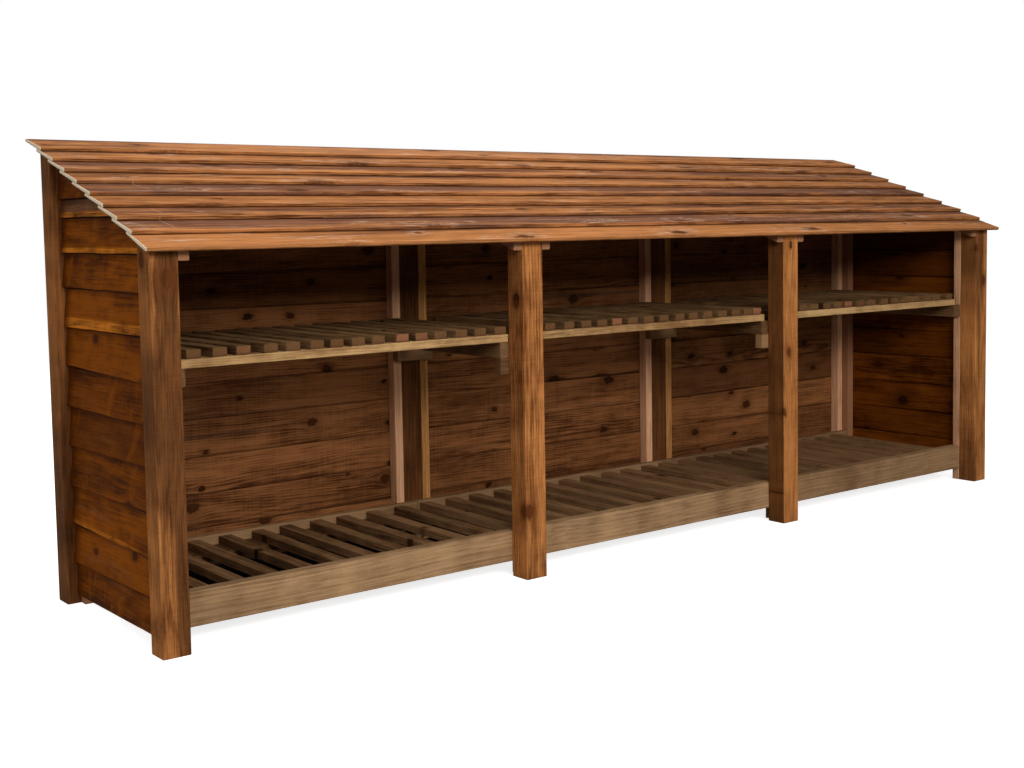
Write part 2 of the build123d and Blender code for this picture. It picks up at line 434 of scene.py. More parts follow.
# %% Plain timber
PLAIN_TIMBER = dict(
    ring=0.0070,                          # from one year's ring to the next
    contrast=0.45,                        # how dark the late wood of a year is
    streaks=1.0,                          # long soft streaks
    fibre=1.0,                            # fine fibres
    dash=0.4,                             # short dark dashes
    mottle=0.5,                           # patches the size of a coin
    blotch=0.5,                           # clouds the size of a hand
    saw=0.3,                              # marks of the saw, across the board
    knots=0.5,                            # share of the places for a knot that have one
    knot_size=0.009,
    knot_colour=(0.020, 0.008, 0.004),
    ragged=0.011,                         # how uneven a knot's rim is
    slim=0.45,                            # under 1, knots are longer than wide
    soft=0.0,                             # how soft a knot's rim is
    halo_dark=0.55,                       # darker wood round a knot
    stain=None,                           # colour of a second stain, laid in patches
    stain_rate=26.0,                      # how many of its patches fit on a metre of width
    upper_stain=0.0,                      # more of it towards a board's upper edge
    spikes=0.0,                           # bright flames where the saw tore the face
    strip=None,                           # colour of a planed strip at the lower edge
    splinter=0.0,                         # torn, pale fibres
    gather=(0.012, 0.35),                 # painted shade and dirt under the next board: its width and its strength
    inner_seam=0.0,                       # painted shadow line above each board's top edge on the inner face
    left_dark=0.0,                        # painted shade on faces that look left
    end_dark=0.0,                         # painted shade towards the ends of a board
    pale_ends=0.0,                        # fresh sawn ends
    end_colour=(0.70, 0.52, 0.33),
    odd_ends=False,                       # only a few of a row's ends are fresh
    scratches=(),                         # each from x, y to x, y on the store
)


def read_board(s):
    """The first four attributes as sockets, under short names."""
    at = SimpleNamespace()
    at.along, at.across, at.through = s.attribute("grain")
    at.seed, at.tone, at.seed2 = s.attribute("board")
    at.from_end, at.from_edge, at.under = s.attribute("place")
    at.depth, at.stained, at.chosen = s.attribute("skin")
    at.shift = at.seed * 37.0
    return at


print("a timber can differ in", len(PLAIN_TIMBER), "ways")

# %% [markdown]
# ## Knots
# A branch leaves a knot, and the grain is pushed round it. Cells of a Voronoi pattern give chance
# places for knots, and chance says which cells have one. Its distance gives the knot itself, a
# halo round it, and how far the grain is pushed. The knots that show best on the real posts come
# in the same way from the two marks.

# %% Knots
KNOT_RATE = (3.4, 7.5)     # cells on a metre of a board's length and of its width
FADE = -0.16               # how fast a knot's pull on the grain dies away


def branch_knots(s, at, f):
    """Chance knots: near is the distance in knot sizes, and pushed the grain that went round them."""
    k = SimpleNamespace()
    ku = at.along * KNOT_RATE[0] + at.shift
    kv = at.across * KNOT_RATE[1] + at.seed2 * 19.0
    cell = s.node("TexVoronoi", {"voronoi_dimensions": "2D", "feature": "F1"},
                  Vector=s.vector(ku, kv, 0.0), Scale=1.0, Randomness=0.9)
    cu, cv, _ = s.split(s.out(cell, "Position"))
    chance = s.node("SeparateColor", Color=s.out(cell, "Color"))
    du = (ku - cu) / KNOT_RATE[0]
    dv = (kv - cv) / KNOT_RATE[1]
    k.wobble = s.noise(at.along * 60.0, at.across * 130.0, at.shift, detail=3.0, rough=0.65) - 0.5
    dist = ((du * du * f.slim) + (dv * dv)).math("SQRT") + k.wobble * f.ragged
    size = s.out(chance, "Green") * f.knot_size * 0.95 + f.knot_size * 0.35
    k.there = s.out(chance, "Red").math("GREATER_THAN", 1.0 - f.knots)
    k.near = dist / size
    k.knot = s.step(k.near, 1.15 + f.soft, 0.8 - f.soft) * k.there
    k.halo = (k.near * k.near * FADE).math("EXPONENT") * k.there
    k.age = s.out(chance, "Blue")
    side = dv / (dist.math("ABSOLUTE") + 0.0015)
    k.pushed = at.across - side * size * k.halo * 1.2
    return k


def marked_knots(s, k):
    """Add the knots whose places were read from the real board."""
    for mark in ("mark", "mark2"):
        mx, my, mz = s.attribute(mark)
        far = ((mx * mx * 0.45) + (my * my) + (mz * mz)).math("SQRT") + k.wobble * 0.5
        swirl = (far * far * FADE).math("EXPONENT")
        k.pushed = k.pushed - my / (far.math("ABSOLUTE") + 0.2) * swirl * 0.016
        k.near = k.near.math("MINIMUM", far)
        k.there = k.there.math("MAXIMUM", s.step(far, 4.0, 3.5))
        k.halo = k.halo.math("MAXIMUM", swirl)
        k.knot = k.knot.math("MAXIMUM", s.step(far, 1.15, 0.8))


# %% [markdown]
# ## Rings and fibres
# Softwood is rings seen in section. A board is a slice some way from the heart of the tree, so
# the distance from the heart, bent a little along the length, gives straight lines near the
# edges and arches in the middle. Noise that is stretched along the board makes the fibres.

# %% Rings and fibres
def flecks(s, at, across, along_rate, cross_rate, detail, rough):
    """Stretched noise around 0, with so many changes on a metre along the board and across it."""
    through = at.through * cross_rate
    return s.noise(at.along * along_rate + at.shift, across * cross_rate, through, detail, rough) - 0.5


def growth(s, at, k, f):
    """The late wood of each year, the fine fibres and the long streaks."""
    sway = s.noise(at.along * 0.9 + at.shift, at.across * 2.0, 0.0) - 0.5
    sway2 = s.noise(at.along * 1.3 + 9.0, at.through * 2.0, at.shift) - 0.5
    across = k.pushed + sway * 0.11
    through = at.through + sway2 * 0.06
    radius = ((across * across) + (through * through)).math("SQRT")
    fine = s.noise(at.along * 10.0, k.pushed * 480.0, at.through * 480.0, detail=3.0, rough=0.6) - 0.5
    streak = flecks(s, at, k.pushed, 1.5, 95.0, detail=4.0, rough=0.75)
    part = (radius / f.ring + streak * 0.8).math("FRACT")
    late = s.step(part, 0.1, 0.85) * s.step(part, 1.0, 0.9)
    years = s.noise(radius * 60.0, at.shift, 0.0, detail=1.0)
    late = late * s.step(years, 0.3, 0.7, 0.35, 1.0)
    return SimpleNamespace(late=late, fine=fine, streak=streak)


# %% [markdown]
# ## Tone
# The wood's colour lies between a light and a dark one. All that makes it darker at a place is
# added up: late wood, streaks, fibres, clouds, saw marks. Patches and dashes come on top, and each
# board as a whole is moved a little towards one of the two colours.

# %% Tone
def darkness(s, at, k, g, f):
    """How dark the wood is at each place, from 0 to 1."""
    cloud = s.noise(at.along * 2.4 + at.shift, k.pushed * 11.0, at.seed2 * 7.0, detail=3.0, rough=0.6) - 0.5
    dashes = flecks(s, at, k.pushed, 4.0, 90.0, detail=4.0, rough=0.72)
    g.patchy = flecks(s, at, at.across, 13.0, 21.0, detail=4.0, rough=0.62)
    g.bands = s.noise(at.along * 170.0, at.across * 4.0, at.shift) - 0.5
    dark_line = s.noise(at.along * 1.9 + 4.0, k.pushed * 48.0, at.through * 48.0 + at.shift)
    dark_line = s.step(dark_line, 0.58, 0.74)
    amount = (g.late - 0.35) * f.contrast + g.streak * 1.7 * f.streaks + g.fine * 1.5 * f.fibre
    amount = amount + cloud * f.blotch * 2.2 + g.bands * 0.35 * f.saw
    amount = amount + g.patchy * f.mottle * 1.3 + dashes * f.dash * 2.4
    amount = amount + dark_line * 0.35 * f.streaks + 0.42 + (at.seed2 - 0.5) * 0.30
    return amount.clamped()


def bare_wood(s, at, amount, f):
    colour = s.mix(amount, f.light, f.dark)
    colour = s.mix(at.tone.clamped(), colour, f.dark)
    return s.mix((at.tone * -1.0).clamped(), colour, f.light)


# %% [markdown]
# ## Stain
# A second stain lies over the wood in patches, because it soaks in unevenly. Where the saw tore
# the face of a board, the stain makes bright and dark flames. Round a knot the wood is darker, and
# the knot itself has a rim.

# %% Stain
def stain_patches(s, at, amount, f, colour):
    patch = s.noise(at.along * 1.1 + at.shift, at.across * f.stain_rate, 4.0, detail=4.0, rough=0.65) - 0.5
    cover = s.step(at.stained + patch * 2.6 + (at.from_edge - 0.040) * f.upper_stain, 0.25, 0.75)
    return s.mix(cover * 0.92, colour, s.mix(amount, f.stain, darker(f.stain, 0.36)))


def flames(s, at, f, colour):
    lean = at.along * 17.0 + at.shift + (at.across * 6.0)
    spike = s.noise(lean, at.across * 7.0, 3.0, detail=3.0, rough=0.6, distort=0.6)
    colour = s.mix(s.step(spike, 0.55, 0.72) * f.spikes * 0.55, colour, f.light)
    return s.mix(s.step(spike, 0.66, 0.78) * f.spikes * 0.8, colour, f.dark)


def paint_knots(s, k, f, colour):
    colour = s.mix(k.halo * k.halo * f.halo_dark, colour, f.dark)
    rim = s.step(k.near, 0.5, 0.95) * s.step(k.near, 1.5, 1.0) * k.there
    young = tuple(d * 0.8 + c * 0.2 for d, c in zip(f.dark, f.knot_colour))
    heart = s.mix(s.step(k.age, 0.3, 0.7), f.knot_colour, young)
    return s.mix((k.knot * 0.9 + rim * 0.3).math("MINIMUM", 1.0), colour, heart)


# %% [markdown]
# ## Edges
# Edges tell how a board was made. Some wall boards have a smooth planed strip along the lower
# edge. The roof boards were left rough, so pale fibres stand out near the edge and round the knots,
# and the lower part of their butt is darkened as painted shade. Just under the next board up there
# is painted shade with some dirt.

# %% Edges
TORN_COLOUR = (0.60, 0.43, 0.32)


def planed_strip(s, at, g, amount, f, colour):
    edge = at.from_edge / (at.chosen + 0.01) + g.streak * 0.012
    planed = s.step(at.chosen, 0.4, 0.5) * s.step(edge, 0.030, 0.020)
    return s.mix(planed * 0.75, colour, s.mix(amount, f.strip, f.dark))


def fibres_and_butt_shade(s, at, k, g, f, colour):
    torn = s.noise(at.along * 13.0 + at.shift, at.across * 130.0, 2.0, detail=5.0, rough=0.8)
    patches = s.noise(at.along * 2.6, at.across * 12.0 + at.shift, 8.0, detail=3.0, rough=0.6)
    at_edge = s.step(at.from_edge, 0.075, 0.040) * s.step(patches, 0.55, 0.61)
    at_knots = s.step(k.halo, 0.02, 0.15) * s.step(k.halo, 0.95, 0.6) * s.step(at.chosen, 0.2, 0.3)
    band = at_edge.math("MAXIMUM", at_knots) * s.step(at.from_edge, 0.002, 0.006)
    colour = s.mix(band * s.step(torn, 0.51, 0.59) * f.splinter, colour, TORN_COLOUR)
    # Painted shade: the lower part of each roof board's butt is darkened.
    butt_shade = s.step(at.from_edge, 0.0030, 0.0010) * s.step(at.depth + g.patchy * 0.5, 0.55, 0.85)
    return s.mix(butt_shade * 0.8, colour, darker(f.dark, 0.4))


def shade_and_dirt_under_laps(s, at, f, colour):
    wide, strength = f.gather
    outer = s.step(at.depth, 0.5, 0.4)
    # Painted shade, with some dirt, on the outer face just under the next board up.
    shade_and_dirt_mask = s.step(at.under, wide, 0.0) * strength + s.step(at.under, 0.004, 0.002) * 0.5
    colour = s.mix(shade_and_dirt_mask * outer, colour, f.black)
    # Painted shadow line on the inner face, above the top edge of the board below.
    inner_shadow_mask = s.step(at.from_edge, 0.027, 0.021) * (1.0 - outer) * f.inner_seam
    return s.mix(inner_shadow_mask, colour, f.black)


# %% [markdown]
# ## Ends and scratches
# Boards are darkened towards their ends as painted shade. An end that was sawn after the staining
# stays pale, with the saw's marks across it and painted shade on its lower part. The posts carry
# painted shade on the faces that look left, and the roof has a few long scratches near its left end,
# drawn as thin lines between two places.

# %% Ends and scratches
SCRATCH_COLOUR = (0.50, 0.33, 0.24)


def shaded_left_faces(s, at, f, colour):
    # Painted shade on faces that look left, as strong as the board's chosen number.
    facing, _, _ = s.split(s.out(s.node("NewGeometry"), "True Normal"))
    return s.mix(s.step(facing, -0.4, -0.8) * at.chosen * f.left_dark, colour, f.black)


def shaded_ends(s, at, f, colour):
    # Painted shade, darker towards the ends of each board.
    return s.mix(s.step(at.from_end, 0.06, 0.0) * f.end_dark, colour, f.dark)


def fresh_ends(s, at, f, colour):
    end = s.step(at.from_end, 0.0016, 0.0004)
    saw_marks_and_shade = s.noise(at.across * 260.0, at.through * 500.0, at.shift) - 0.5
    # The lower part of a fresh end is darkened as painted shade, on top of the saw marks.
    saw_marks_and_shade = (saw_marks_and_shade * 1.6 + s.step(at.depth, 0.55, 0.9) * 0.8).clamped()
    cut = f.end_colour
    if f.odd_ends:
        cut = s.mix(s.step(at.chosen, 0.88, 0.93), darker(f.dark, 1.9), f.end_colour)
    return s.mix(end * f.pale_ends, colour, s.mix(saw_marks_and_shade, cut, darker(f.end_colour, 0.35)))


def scratched(s, f, colour):
    for x0, y0, x1, y1 in f.scratches:
        x, y, _ = s.object_place()
        off = ((y - y1) * ((x0 - x1) / (y0 - y1)) + x1 - x).math("ABSOLUTE")
        inside = s.step(y, y1, y1 + 0.01) * s.step(y, y0, y0 - 0.01)
        colour = s.mix(s.step(off, 0.0026, 0.0012) * inside * 0.45, colour, SCRATCH_COLOUR)
    return colour


# %% [markdown]
# ## A timber
# The layers are put on in the order in which they came to the real board: wood, stain, knots
# showing through, edges, dirt, ends. Painted shade is laid in with them: on the roof's butts, with the
# dirt under the laps, on faces that look left and towards the ends. The bump and the roughness come
# from the same rings and fibres as the colour, so light and colour agree. Weathered softwood has
# hardly any gloss.

# %% Timber maker
BARELY_GLOSSY = 0.015
DRY = 0.70     # roughness


def timber_colour(s, at, k, g, f):
    amount = darkness(s, at, k, g, f)
    colour = bare_wood(s, at, amount, f)
    if f.stain:
        colour = stain_patches(s, at, amount, f, colour)
    if f.spikes:
        colour = flames(s, at, f, colour)
    colour = paint_knots(s, k, f, colour)
    if f.strip:
        colour = planed_strip(s, at, g, amount, f, colour)
    if f.splinter:
        colour = fibres_and_butt_shade(s, at, k, g, f, colour)
    colour = shade_and_dirt_under_laps(s, at, f, colour)
    if f.left_dark:
        colour = shaded_left_faces(s, at, f, colour)
    if f.end_dark:
        colour = shaded_ends(s, at, f, colour)
    if f.pale_ends:
        colour = fresh_ends(s, at, f, colour)
    return scratched(s, f, colour)


def wood(name, light, dark, **changes):
    """A timber between a light and a dark colour, with its changes to the plain one."""
    f = SimpleNamespace(light=light, dark=dark, black=darker(dark, 0.22), **(PLAIN_TIMBER | changes))
    material = bpy.data.materials.new(name)
    s = Tree(material)
    at = read_board(s)
    k = branch_knots(s, at, f)
    marked_knots(s, k)
    if f.splinter:
        k.knot = k.knot * s.step(at.from_edge, 0.001, 0.007)
    g = growth(s, at, k, f)
    colour = timber_colour(s, at, k, g, f)
    height = g.late * 0.35 + g.fine * 1.0 + g.bands * f.saw + k.knot * 0.6 + g.streak * 0.5
    bump = s.node("Bump", Strength=0.6, Distance=0.0014, Height=height)
    roughness = (g.late * -0.08 + g.fine * 0.25 + DRY).math("MAXIMUM", 0.3, clamp=True)
    shader = s.node("BsdfPrincipled", Base_Color=colour, Roughness=roughness, Normal=s.out(bump, "Normal"),
                    Specular_IOR_Level=BARELY_GLOSSY)
    s.node("OutputMaterial", Surface=s.out(shader))
    print(name, len(s.tree.nodes), "nodes")
    return material


# %% [markdown]
# ## Posts
# Four square sawn posts stand in front and four taller ones behind, their tops cut to the rake of
# the roof. They took the stain very unevenly, and the faces that look left carry painted shade. The knots
# that show best are placed one by one, each by its place on the post and its size.

# %% Post timber
post_wood = wood(
    "post_timber", (0.62, 0.245, 0.072), (0.140, 0.043, 0.012), stain=(0.150, 0.056, 0.019), stain_rate=14.0,
    ring=0.009, contrast=0.3, streaks=0.6, fibre=1.4, dash=0.5, mottle=0.8, blotch=1.0, saw=0.9,
    knots=0.6, knot_size=0.009, knot_colour=(0.050, 0.015, 0.005), ragged=0.016, halo_dark=0.9,
    left_dark=0.75)

# %% Posts
POST_LOOKS = {
    "front_post_1": dict(stain=0.55, marks=((0.885, 0.043, 0.0, 0.015), (0.929, 0.0, 0.044, 0.013))),
    "front_post_2": dict(stain=0.15, marks=((0.195, 0.012, 0.010, 0.017), (0.785, 0.002, 0.030, 0.014))),
    "front_post_3": dict(stain=0.15, tone=-0.25, chosen=0.9,
                         marks=((0.566, 0.026, 0.0, 0.009), (0.371, 0.002, 0.0, 0.007))),
    "front_post_4": dict(stain=0.34, tone=-0.15, marks=((0.882, 0.004, 0.0, 0.009),)),
    "back_post_1": dict(stain=0.75, tone=0.15),
}
INNER_POST = dict(stain=1.2, tone=0.5)
for side, first_seed in (("front", 101), ("back", 111)):
    for i in range(4):
        node = f"{side}_post_{i + 1}"
        look = dict(chosen=0.1) | POST_LOOKS.get(node, INNER_POST)
        bm = new_piece()
        box_plank(bm, *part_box(node), "z", first_seed + i, arris=0.0022, bow=0.0006, cuts=[rake_cut()], **look)
        finish_piece(node + "_timber", bm, node, post_wood)

# %% [markdown]
# ## Battens
# Upright battens stand at the ends of each boarded panel, and the boards are nailed to them from
# outside. They are pale roofing battens, and two of those at the back took a tan stain. Those at
# the back end one rafter's depth lower, because the rafters pass over them.

# %% Batten timber
batten_wood = wood("batten_timber", (0.98, 0.55, 0.31), (0.36, 0.165, 0.080), stain=(0.76, 0.350, 0.100),
                   contrast=0.3, streaks=0.6, knots=0.3, knot_size=0.006)
BATTEN_DEEP = 0.034
PALE, TAN = -1.0, 1.6     # far below and far above where the stain sets in


# %% Battens
def upright_battens(node, seed, tones, stains=(PALE, PALE), drop=0.0):
    bm = new_piece()
    for k, (low, high) in enumerate(islands(node)):
        box_plank(bm, low, high, "z", seed + k, tone=tones[k], stain=stains[k], cuts=[rake_cut(drop)])
    finish_piece(node + "_timber", bm, node, batten_wood)


under_rafters = BATTEN_DEEP / math.cos(PITCH)
upright_battens("left_wall_battens", 434, tones=(0.9, 0.9))
upright_battens("right_wall_battens", 441, tones=(0.1, 1.0))
upright_battens("back_battens_1", 347, tones=(0.1, -0.3), drop=under_rafters)
upright_battens("back_battens_2", 348, tones=(0.1, -0.3), stains=(TAN, PALE), drop=under_rafters)
upright_battens("back_battens_3", 349, tones=(0.1, -0.3), stains=(TAN, PALE), drop=under_rafters)

# %% [markdown]
# ## Rafters
# The rafters are the same battens, run up the sides of the posts at the rake of the roof. Each is
# made a little too long at both ends and is then sawn off upright, front and back.

# %% Rafters
SPARE_LOW, SPARE_HIGH = 0.01, 0.03
for i in range(4):
    node = f"rafters_{i + 1}"
    bm = new_piece()
    for k, (low, high) in enumerate(islands(node)):
        wide = high.x - low.x
        length = (high.y - low.y) / math.cos(PITCH) + SPARE_LOW + SPARE_HIGH
        foot = Matrix.Translation((high.x, low.y, roof_z(low.y)))
        place = foot @ Matrix.Rotation(PITCH, 4, "X") @ along("y", (0, 0, 0))
        place = place @ Matrix.Translation((-SPARE_LOW, 0, 0))
        section = [(0, -BATTEN_DEEP), (wide, -BATTEN_DEEP), (wide, 0), (0, 0)]
        ends = [((0, low.y, 0), (0, -1, 0)), ((0, high.y, 0), (0, 1, 0))]
        plank(bm, section, length, place, 302 + 2 * i + k, tone=0.9, stain=PALE, cuts=ends)
    finish_piece(node + "_timber", bm, node, batten_wood)

# %% [markdown]
# ## Feather-edge boards
# Walls and roof are of feather-edge boards, which are thin at the top and thick at the bottom. Each
# one covers the thin edge of the board below, so rain runs off outside. A board that rides on
# another stands off by what the taper below it adds up to, which the same sum gives for each.

# %% Feather edge
BITE = 0.0003     # how deep a board sinks into the one below


def feather_edge(wide, lift, thin, thick):
    return [(0, lift), (wide, 0), (wide, thin), (0, lift + thick)]


def next_lift(wide, lift, thin, thick, lap):
    """How far the foot of the next board stands off."""
    return thin + (lift + thick - thin) * lap / wide - BITE


# %% [markdown]
# ## Walls
# The heights of the boards' lower edges were read from the left end wall. Boards on the side walls
# run along Y and those at the back along X, so a matrix turns each to its wall. The left wall's
# outside is orange and weathered, the right wall's inside is dark with round knots, and the back
# is plainer, so each has its own timber.

# %% Wall timbers
clad_wood = wood(
    "cladding_timber", (0.33, 0.087, 0.006), (0.055, 0.013, 0.0015), stain=(0.27, 0.120, 0.060),
    contrast=0.3, streaks=0.4, fibre=0.9, dash=0.5, mottle=1.1, blotch=1.1, saw=0.7, knots=0.5,
    knot_size=0.010, knot_colour=(0.050, 0.014, 0.004), spikes=1.0, strip=(0.86, 0.28, 0.03),
    gather=(0.024, 0.5), end_dark=0.85)
right_wood = wood(
    "right_wall_timber", (0.31, 0.082, 0.007), (0.050, 0.012, 0.0015), contrast=0.4, streaks=0.5, fibre=1.2,
    dash=0.6, mottle=0.9, blotch=1.3, saw=0.7, knots=0.9, knot_size=0.012, knot_colour=(0.030, 0.008, 0.002),
    ragged=0.022, halo_dark=0.95, gather=(0.024, 0.5), inner_seam=0.8)
back_wood = wood(
    "back_wall_timber", (0.33, 0.128, 0.044), (0.055, 0.018, 0.006), stain=(0.11, 0.055, 0.030),
    contrast=0.5, streaks=0.5, fibre=1.3, dash=0.45, mottle=0.7, blotch=0.9, saw=1.2, knots=0.85,
    knot_size=0.011, knot_colour=(0.026, 0.009, 0.003), ragged=0.022, halo_dark=0.6, inner_seam=0.6)

# %% Walls
LOWER_EDGES = [0.026, 0.120, 0.219, 0.326, 0.434, 0.536, 0.640, 0.747, 0.850, 0.941, 1.032, 1.080]
WALL_THIN, WALL_THICK, WALL_LAP = 0.005, 0.011, 0.020


def board_frame(axis, outward, face, start, low):
    """A frame for a wall board: its length along axis, its width up, its thickness outward."""
    if axis == "y":
        turn = Matrix(((0, 0, outward), (1, 0, 0), (0, 1, 0))).to_4x4()
        return Matrix.Translation((face, start, low)) @ turn
    turn = Matrix(((1, 0, 0), (0, 0, outward), (0, 1, 0))).to_4x4()
    return Matrix.Translation((start, face, low)) @ turn


def lapped_wall(node, material, axis, outward, face, start, end, seed, tones=None, stains=None, strips=None):
    bm = new_piece()
    next_edges = LOWER_EDGES[1:] + [roof_z(BACK)]
    lift = 0.0
    for k, (low, next_edge) in enumerate(zip(LOWER_EDGES, next_edges)):
        tall = next_edge + WALL_LAP - low
        by_chance = random.Random(seed + k).uniform(-0.25, 0.45)
        skew = random.Random(seed - k).uniform(-0.009, 0.009)
        plank(bm, feather_edge(tall, lift, WALL_THIN, WALL_THICK), end - start,
              board_frame(axis, outward, face, start, low), seed + k, arris=0.0008, step=0.03,
              cuts=[rake_cut()], tone=tones[k] if tones else by_chance, stain=stains[k] if stains else 0.12,
              show=UNCOVERED if low == LOWER_EDGES[-1] else next_edge - low,
              chosen=(strips or {}).get(k, 0.0), bow=0.0006, chew=0.0016, skew=skew)
        lift = next_lift(tall, lift, WALL_THIN, WALL_THICK, WALL_LAP)
    bmesh.ops.recalc_face_normals(bm, faces=bm.faces)
    finish_piece(node + "_timber", bm, node, material)


low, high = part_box("left_wall_battens")
lapped_wall("left_wall_boards", clad_wood, "y", -1, low.x, low.y, high.y, 400,
            tones=[0.15, -0.35, -0.1, 0.3, 0.6, 0.35, 0.25, 0.15, 0.05, 0.2, 0.0, 0.6],
            stains=[0.1, 0.0, 0.0, 0.1, 0.1, 0.0, 0.0, 0.0, 0.0, 0.0, 0.9, 0.2],
            strips={2: 0.45, 7: 0.95, 9: 0.5, 10: 0.55})
# On the right wall the upper boards are toned darker, as painted shade under the roof.
low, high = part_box("right_wall_battens")
lapped_wall("right_wall_boards", right_wood, "y", 1, high.x, low.y, high.y, 430,
            tones=[0.35, 0.5, 0.4, 0.1, 0.6, 0.35, 0.5, 0.7, 0.8, 0.8, 0.9, 0.9])
for i in (1, 2, 3):
    low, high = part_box(f"back_boards_{i}")
    lapped_wall(f"back_boards_{i}", back_wood, "x", 1, low.y, low.x, high.x, 460 + 20 * i)

# %% [markdown]
# ## Roof
# Nine long feather-edge boards run the whole length of the store. The lowest lies flat on the
# rafters, and each of the others rides on the one below it. The weather has torn their edges and
# their ends are fresh sawn. Each board is a little redder or greyer than the next one.

# %% Roof timber
roof_wood = wood(
    "roof_timber", (0.55, 0.226, 0.078), (0.115, 0.036, 0.010), stain=(0.20, 0.088, 0.054), upper_stain=6.0,
    streaks=1.1, fibre=1.8, dash=0.9, blotch=0.5, knots=0.6, knot_size=0.010,
    knot_colour=(0.075, 0.024, 0.008), ragged=0.024, slim=0.16, soft=0.2, halo_dark=0.6, splinter=0.75,
    gather=(0.006, 0.25), pale_ends=1.0, end_colour=(1.0, 0.84, 0.62),
    scratches=((-1.531, 0.049, -1.503, -0.041), (-1.555, -0.146, -1.543, -0.198),
               (-1.565, -0.22, -1.551, -0.29)))

# %% Roof boards
ROOF_THIN, ROOF_THICK, ROOF_LAP = 0.007, 0.0105, 0.029
ROOF_TONES = [-0.45, 0.0, 0.0, -0.1, 0.05, 0.0, 0.05, 0.0, 0.0]
ROOF_STAINS = [0.05, 0.62, 0.38, 0.15, 0.72, 0.25, 0.48, 0.20, 0.15]
low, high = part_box("roof_boards")
tip_y = low.y + ROOF_THICK * math.sin(PITCH)
slope_length = (high.y - tip_y) / math.cos(PITCH)
exposure = (slope_length - ROOF_LAP) / len(ROOF_TONES)
wide = exposure + ROOF_LAP
turn = Matrix((Vector((1, 0, 0)), UP_RAKE, OFF_RAKE)).transposed().to_4x4()
bm = new_piece()
lift = 0.0
for k, (tone, stain) in enumerate(zip(ROOF_TONES, ROOF_STAINS)):
    foot = Vector((low.x, tip_y, roof_z(tip_y))) + UP_RAKE * (k * exposure)
    lowest, topmost = k == 0, k == len(ROOF_TONES) - 1
    plank(bm, feather_edge(wide, lift, ROOF_THIN, ROOF_THICK), high.x - low.x,
          Matrix.Translation(foot) @ turn, 500 + k, arris=0.0010, step=0.03, tone=tone, stain=stain,
          show=UNCOVERED if topmost else exposure, bow=0.0, chew=0.0 if lowest else 0.0014)
    lift = next_lift(wide, lift, ROOF_THIN, ROOF_THICK, ROOF_LAP)
finish_piece("roof_timber", bm, "roof_boards", roof_wood)
print("each roof board shows", round(exposure, 4), "m of its width")

# %% [markdown]
# ## Loose boards
# Floor and shelf are of plain boards, and each fills its own box of the frame. Their tone is drawn
# by chance, or given where the real boards differ plainly. Slats were laid by eye, so they are
# turned a hair out of line.

# %% Loose boards
LAID_BY_EYE = 0.003


def loose_boards(node, axis, material, seed, tones=(), paler=0.0, skew=0.0, bow=0.0005):
    bm = new_piece()
    for k, (low, high) in enumerate(islands(node)):
        by_chance = random.Random(seed + k).uniform(-0.2, 0.3) - paler
        turned = random.Random(seed - k).uniform(-skew, skew)
        box_plank(bm, low, high, axis, seed + k, arris=0.0015, tone=tones[k] if tones else by_chance,
                  bow=bow, skew=turned)
    finish_piece(node + "_timber", bm, node, material)


# %% [markdown]
# ## Floor
# A deep rail stands on edge across the front and another across the back. Flat bearers fixed to
# them carry the slats, and the slats lie a little below the rails so that logs can't roll out.
# Small blocks hold the rails up behind the middle posts. They stand on the ground, so they don't
# bow.

# %% Floor timbers
rail_wood = wood("floor_rail_timber", (0.53, 0.325, 0.168), (0.19, 0.102, 0.047), ring=0.012, contrast=0.3,
                 streaks=0.6, dash=0.2, mottle=0.7, blotch=1.2, knots=0.5, knot_size=0.011,
                 knot_colour=(0.14, 0.070, 0.030))
slat_wood = wood("floor_slat_timber", (0.33, 0.180, 0.084), (0.075, 0.034, 0.013), mottle=0.9, blotch=0.8,
                 knots=0.4)

# %% Floor
loose_boards("floor_front_rails", "x", rail_wood, 600, tones=(-0.1, 0.1, 0.35))
loose_boards("floor_back_rails", "x", rail_wood, 610, tones=(0.6, 0.6, 0.6))
loose_boards("floor_front_bearer", "x", slat_wood, 620, tones=(0.8,))
loose_boards("floor_back_bearer", "x", slat_wood, 630, tones=(0.8,))
loose_boards("front_leg_blocks", "x", rail_wood, 640, bow=0.0)
loose_boards("back_leg_blocks", "x", rail_wood, 645, bow=0.0)
for i, paler in ((1, 0.0), (2, 0.3), (3, 0.3)):
    loose_boards(f"floor_slats_{i}", "y", slat_wood, 630 + 20 * i, paler=paler,
                 skew=LAID_BY_EYE)

# %% [markdown]
# ## Shelf
# Slim rails run along the shelf in front and behind. Bearers from front to back carry them, and at
# the middle posts short cleats carry the bearers. The slats' ends show over the front rail, and a
# few of them were sawn fresh.

# %% Shelf timbers
shelf_wood = wood("shelf_rail_timber", (0.60, 0.370, 0.165), (0.22, 0.110, 0.042), contrast=0.3, streaks=0.9,
                  mottle=1.2, blotch=0.9, knots=0.8, knot_size=0.009)
shelf_slat_wood = wood("shelf_slat_timber", (0.31, 0.175, 0.077), (0.075, 0.036, 0.014), mottle=0.9,
                       blotch=0.8, knots=0.3, pale_ends=0.85, end_colour=(0.30, 0.115, 0.058), odd_ends=True)

# %% Shelf
loose_boards("shelf_front_rails", "x", shelf_wood, 710)
loose_boards("shelf_back_rails", "x", shelf_wood, 720)
for i in (1, 2, 3, 4):
    loose_boards(f"shelf_bearers_{i}", "y", slat_wood, 720 + 10 * i, tones=(0.5, 0.5))
loose_boards("front_shelf_cleats", "x", slat_wood, 770, tones=(0.6, -0.9))
loose_boards("back_shelf_cleats", "x", slat_wood, 780, tones=(-0.5, -0.5))
for i in (1, 2, 3):
    loose_boards(f"shelf_slats_{i}", "y", shelf_slat_wood, 770 + 30 * i, skew=LAID_BY_EYE)

